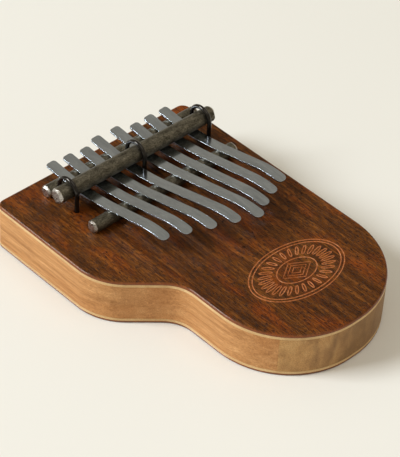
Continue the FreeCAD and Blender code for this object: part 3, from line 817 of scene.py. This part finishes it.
def makeTine(number):
    _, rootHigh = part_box(f"tine_{number}_root")
    bladeLow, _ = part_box(f"tine_{number}_blade")
    barLow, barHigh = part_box("pressure_bar")
    barY = (barLow.y + barHigh.y) / 2
    joint = [j for j in frame["joints"] if j["name"] == f"tine_{number}_flex"][0]
    hinge = Vector(joint["pos_m"])
    skew = math.radians(tine["skew"])
    slope = math.radians(tine["slope"])
    lift = math.radians(tine["lifts"][number - 1])
    bladeSlope = slope + lift
    tipTurn = math.radians(tine["tipTurn"])
    barX = hinge.x - (barY - hinge.y) * math.tan(skew)

    # flat length each way from the lowest point of the bend
    bendY, bendZ = tine["bendY"], tine["bendZ"]
    halfBend = tine["bendRadius"] * slope
    bendReach = tine["bendRadius"] * math.sin(slope)
    tipBend = tine["tipRadius"] * tipTurn
    tipReach = tine["tipRadius"] * (math.sin(bladeSlope) + math.sin(tipTurn - bladeSlope))
    tipLean = tine["thickness"] * math.sin(tipTurn - bladeSlope)
    localTip = barY - (barY - bladeLow.y) / math.cos(skew) + tipLean
    localHinge = barY - (barY - hinge.y) / math.cos(skew)
    localRear = barY + (rootHigh.y - barY) / math.cos(skew)
    hingeStation = bendY - halfBend - (bendY - bendReach - localHinge) / math.cos(slope)
    front = hingeStation - (localHinge - localTip - tipReach) / math.cos(bladeSlope) - tipBend
    rear = bendY + halfBend + (localRear - bendY - bendReach) / math.cos(slope)

    half = tine["width"] / 2
    corners = [(-half, rear, tine["rearCorner"]), (-half, front, tine["tipCorner"]),
               (half, front, tine["tipCorner"]), (half, rear, tine["rearCorner"])]
    piece = walkOutline(f"tine{number}", corners, bendZ, tine["arcStep"])
    thicken(tine["thickness"])
    roundRim(piece, bendZ + tine["thickness"], tine["edge"], 3)
    roundRim(piece, bendZ, tine["edge"], 3)

    # crosswise lines to bend at, from the far ends inwards: turned-down tip, own lift, long bend
    stations = []
    for step in range(tine["tipSteps"]):
        share = (step + 0.5) / tine["tipSteps"]
        stations.append((front + tipBend * share, tipTurn / tine["tipSteps"], -1))
    stations.append((hingeStation, -lift, -1))
    for step in range(tine["bendSteps"]):
        share = (step + 0.5) / tine["bendSteps"]
        stations.append((bendY - halfBend * (1 - share), -slope / tine["bendSteps"], -1))
        stations.append((bendY + halfBend * (1 - share), slope / tine["bendSteps"], 1))
    for station, _, _ in stations:
        bpy.ops.mesh.select_all(action="SELECT")
        bpy.ops.mesh.bisect(plane_co=(0, station, 0), plane_no=(0, 1, 0))
    for station, angle, beyond in stations:
        bendStep(piece, station + beyond * tine["pastLine"], angle, beyond, bendZ)
    closeEdit()
    turn = Matrix.Rotation(skew, 4, "Z")
    piece.data.transform(Matrix.Translation((barX, barY, 0)) @ turn @ Matrix.Translation((0, -barY, 0)))
    paint(piece, springSteel)
    smoothPiece(piece, 30)

    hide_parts(f"tine_{number}_root", f"tine_{number}_blade")
    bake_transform(piece)


for number in range(1, 9):
    makeTine(number)
print("tines ready")


floor = {"size": 8.0, "height": -0.1 * mm, "colour": (231, 232, 229), "shade": (227, 228, 224),
         "patch": (0.5, 0.5, 0.5), "specular": 0.2, "roughness": 0.8}
sky = {"colour": (255, 240, 214), "strength": 0.43}
keyLight = {"place": (-2.9, 2.15, 2.6), "aim": (0, 0, 0), "size": 1.7, "power": 200,
            "colour": (250, 253, 255)}
fillLight = {"place": (0.1, -0.5, 1.6), "aim": (0, 0, 0), "size": 1.2, "power": 5.5,
             "colour": (255, 250, 240)}
eye = {"place": (-503.75 * mm, -482.43 * mm, 635.19 * mm), "heading": 45.851,
       "pitch": 40.97, "roll": 3.66, "lens": 157.55, "sensor": 36, "clipStart": 0.05}


def makeFloor():
    dropSelection()
    bpy.ops.mesh.primitive_plane_add(size=floor["size"], location=(0, 0, floor["height"]))
    piece = nameActive("studioFloor")
    bpy.ops.object.transform_apply(location=True, rotation=True, scale=True)
    material, shader = newMaterial("palePaper")
    shader.inputs["Specular IOR Level"].default_value = floor["specular"]
    shader.inputs["Roughness"].default_value = floor["roughness"]
    tone = stretchedNoise(material, floor["patch"], 2)
    colour = addRamp(material, tone, [(0.3, srgb(*floor["shade"])), (0.7, srgb(*floor["colour"]))])
    wire(material, colour, shader.inputs["Base Color"])
    paint(piece, material)


def addAreaLight(name, values):
    data = bpy.data.lights.new(name, "AREA")
    data.shape = "SQUARE"
    data.size = values["size"]
    data.energy = values["power"]
    data.color = srgb(*values["colour"])[:3]
    light = bpy.data.objects.new(name, data)
    bpy.context.scene.collection.objects.link(light)
    place = Vector(values["place"])
    light.location = place
    light.rotation_euler = (Vector(values["aim"]) - place).to_track_quat("-Z", "Y").to_euler()


def makeSky():
    world = bpy.data.worlds.new("softRoom")
    world.use_nodes = True
    background = world.node_tree.nodes["Background"]
    background.inputs["Color"].default_value = srgb(*sky["colour"])
    background.inputs["Strength"].default_value = sky["strength"]
    bpy.context.scene.world = world


def makeCamera():
    data = bpy.data.cameras.new("tableCamera")
    data.lens = eye["lens"]
    data.sensor_width = eye["sensor"]
    data.clip_start = eye["clipStart"]
    camera = bpy.data.objects.new("tableCamera", data)
    bpy.context.scene.collection.objects.link(camera)
    turn = (Matrix.Rotation(math.radians(-eye["heading"]), 4, "Z")
            @ Matrix.Rotation(math.radians(90 - eye["pitch"]), 4, "X")
            @ Matrix.Rotation(math.radians(eye["roll"]), 4, "Z"))
    camera.matrix_world = Matrix.Translation(Vector(eye["place"])) @ turn
    bpy.context.scene.camera = camera


makeFloor()
makeSky()
addAreaLight("windowLight", keyLight)
addAreaLight("ceilingLight", fillLight)
makeCamera()
bpy.context.scene.view_settings.view_transform = "Standard"
print("floor, light and camera ready")
